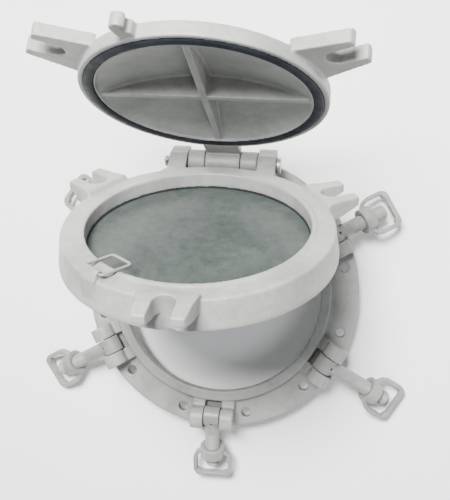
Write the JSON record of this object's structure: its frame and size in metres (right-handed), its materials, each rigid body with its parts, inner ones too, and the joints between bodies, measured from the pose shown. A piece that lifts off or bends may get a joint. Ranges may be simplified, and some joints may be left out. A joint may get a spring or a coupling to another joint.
{
  "type": "hinged side scuttle with deadlight",
  "caption": "Round bolted ship's window: frame with swing bolts and loop nuts, hinged glass holder with wire bail, and hinged dished deadlight with gasket.",
  "frame": {"origin": "centre of the hull bolt circle, on the flange's mounting face", "axes": "+Z along the window's axis into the cabin, +Y from the centre towards the hinge, +X to the right seen from the cabin"},
  "size_m": [0.5676, 0.6061, 0.4434],
  "materials": {
    "painted_casting": "light grey enamel over cast steel, satin, slightly worn",
    "painted_fittings": "light grey enamel over forged steel, satin",
    "bare_steel": "zinc-plated, slightly dull",
    "black_rubber": "matt moulded rubber",
    "toughened_glass": "thick green-grey glass, dusty"
  },
  "bodies": {
    "frame": {"main_frame": "painted_casting", "hinge_pin": "bare_steel", "hinge_split_pin": "bare_steel"},
    "glass_holder": {"glass_holder": "painted_casting", "glass_pane": "toughened_glass", "glass_front_seal": "black_rubber", "glass_back_seal": "black_rubber", "glass_retaining_ring": "painted_casting", "retaining_ring_screws": "bare_steel", "glass_holder_gasket": "black_rubber"},
    "deadlight": {"deadlight": "painted_casting", "deadlight_gasket": "black_rubber"},
    "wire_bail": {"wire_bail": "painted_fittings"},
    "swing_bolt_2": {"swing_bolt_2": "painted_fittings", "pivot_pin_2": "bare_steel", "spring_pin_2": "bare_steel"},
    "washer_2": {"washer_2": "painted_fittings"},
    "loop_nut_2": {"loop_nut_2": "painted_fittings"},
    "swing_bolt_4": {"swing_bolt_4": "painted_fittings", "pivot_pin_4": "bare_steel", "spring_pin_4": "bare_steel"},
    "washer_4": {"washer_4": "painted_fittings"},
    "loop_nut_4": {"loop_nut_4": "painted_fittings"},
    "swing_bolt_6": {"swing_bolt_6": "painted_fittings", "pivot_pin_6": "bare_steel", "spring_pin_6": "bare_steel"},
    "washer_6": {"washer_6": "painted_fittings"},
    "loop_nut_6": {"loop_nut_6": "painted_fittings"},
    "swing_bolt_8": {"swing_bolt_8": "painted_fittings", "pivot_pin_8": "bare_steel", "spring_pin_8": "bare_steel"},
    "washer_8": {"washer_8": "painted_fittings"},
    "loop_nut_8": {"loop_nut_8": "painted_fittings"},
    "swing_bolt_10": {"swing_bolt_10": "painted_fittings", "pivot_pin_10": "bare_steel", "spring_pin_10": "bare_steel"},
    "washer_10": {"washer_10": "painted_fittings"},
    "loop_nut_10": {"loop_nut_10": "painted_fittings"}
  },
  "joints": [
    {"name": "glass_holder_hinge", "type": "hinge", "parent": "frame", "child": "glass_holder", "pos_m": [0, 0.19, 0.06], "axis": [-1, 0, 0], "range_deg": [-62, 15]},
    {"name": "deadlight_hinge", "type": "hinge", "parent": "glass_holder", "child": "deadlight", "pos_m": [0, 0.19, 0.06], "axis": [-1, 0, 0], "range_deg": [-44, 0]},
    {"name": "bail_hinge", "type": "hinge", "parent": "glass_holder", "child": "wire_bail", "pos_m": [-0.09003, 0.04873, 0.35124], "axis": [0.829, -0.2625, 0.4937], "range_deg": [0, 160]},
    {"name": "swing_bolt_2_pivot", "type": "hinge", "parent": "frame", "child": "swing_bolt_2", "pos_m": [0.16195, 0.0935, 0.03], "axis": [-0.5, 0.866, 0], "range_deg": [-112, 0]},
    {"name": "loop_nut_2_travel", "type": "slide", "parent": "swing_bolt_2", "child": "washer_2", "axis": [0.803, 0.4636, -0.3746], "range_m": [-0.0077, 0]},
    {"name": "loop_nut_2_spin", "type": "hinge", "parent": "washer_2", "child": "loop_nut_2", "pos_m": [0.16195, 0.0935, 0.03], "axis": [0.803, 0.4636, -0.3746], "range_deg": [-924, 0]},
    {"name": "swing_bolt_4_pivot", "type": "hinge", "parent": "frame", "child": "swing_bolt_4", "pos_m": [0.16195, -0.0935, 0.03], "axis": [0.5, 0.866, 0], "range_deg": [-112, 0]},
    {"name": "loop_nut_4_travel", "type": "slide", "parent": "swing_bolt_4", "child": "washer_4", "axis": [0.803, -0.4636, -0.3746], "range_m": [-0.0117, 0]},
    {"name": "loop_nut_4_spin", "type": "hinge", "parent": "washer_4", "child": "loop_nut_4", "pos_m": [0.16195, -0.0935, 0.03], "axis": [0.803, -0.4636, -0.3746], "range_deg": [-1404, 0]},
    {"name": "swing_bolt_6_pivot", "type": "hinge", "parent": "frame", "child": "swing_bolt_6", "pos_m": [0, -0.187, 0.03], "axis": [1, 0, 0], "range_deg": [-112, 0]},
    {"name": "loop_nut_6_travel", "type": "slide", "parent": "swing_bolt_6", "child": "washer_6", "axis": [0, -0.9272, -0.3746], "range_m": [-0.0137, 0]},
    {"name": "loop_nut_6_spin", "type": "hinge", "parent": "washer_6", "child": "loop_nut_6", "pos_m": [0, -0.187, 0.03], "axis": [0, -0.9272, -0.3746], "range_deg": [-1644, 0]},
    {"name": "swing_bolt_8_pivot", "type": "hinge", "parent": "frame", "child": "swing_bolt_8", "pos_m": [-0.16195, -0.0935, 0.03], "axis": [0.5, -0.866, 0], "range_deg": [-112, 0]},
    {"name": "loop_nut_8_travel", "type": "slide", "parent": "swing_bolt_8", "child": "washer_8", "axis": [-0.803, -0.4636, -0.3746], "range_m": [-0.0107, 0]},
    {"name": "loop_nut_8_spin", "type": "hinge", "parent": "washer_8", "child": "loop_nut_8", "pos_m": [-0.16195, -0.0935, 0.03], "axis": [-0.803, -0.4636, -0.3746], "range_deg": [-1284, 0]},
    {"name": "swing_bolt_10_pivot", "type": "hinge", "parent": "frame", "child": "swing_bolt_10", "pos_m": [-0.16195, 0.0935, 0.03], "axis": [-0.5, -0.866, 0], "range_deg": [-112, 0]},
    {"name": "loop_nut_10_travel", "type": "slide", "parent": "swing_bolt_10", "child": "washer_10", "axis": [-0.803, 0.4636, -0.3746], "range_m": [-0.0117, 0]},
    {"name": "loop_nut_10_spin", "type": "hinge", "parent": "washer_10", "child": "loop_nut_10", "pos_m": [-0.16195, 0.0935, 0.03], "axis": [-0.803, 0.4636, -0.3746], "range_deg": [-1404, 0]}
  ],
  "couplings": [
    {"joint": "bail_hinge", "follows": "deadlight_hinge", "ratio": -3.6},
    {"joint": "loop_nut_2_travel", "follows": "loop_nut_2_spin", "m_per_rad": 0.00047746},
    {"joint": "loop_nut_4_travel", "follows": "loop_nut_4_spin", "m_per_rad": 0.00047746},
    {"joint": "loop_nut_6_travel", "follows": "loop_nut_6_spin", "m_per_rad": 0.00047746},
    {"joint": "loop_nut_8_travel", "follows": "loop_nut_8_spin", "m_per_rad": 0.00047746},
    {"joint": "loop_nut_10_travel", "follows": "loop_nut_10_spin", "m_per_rad": 0.00047746}
  ]
}
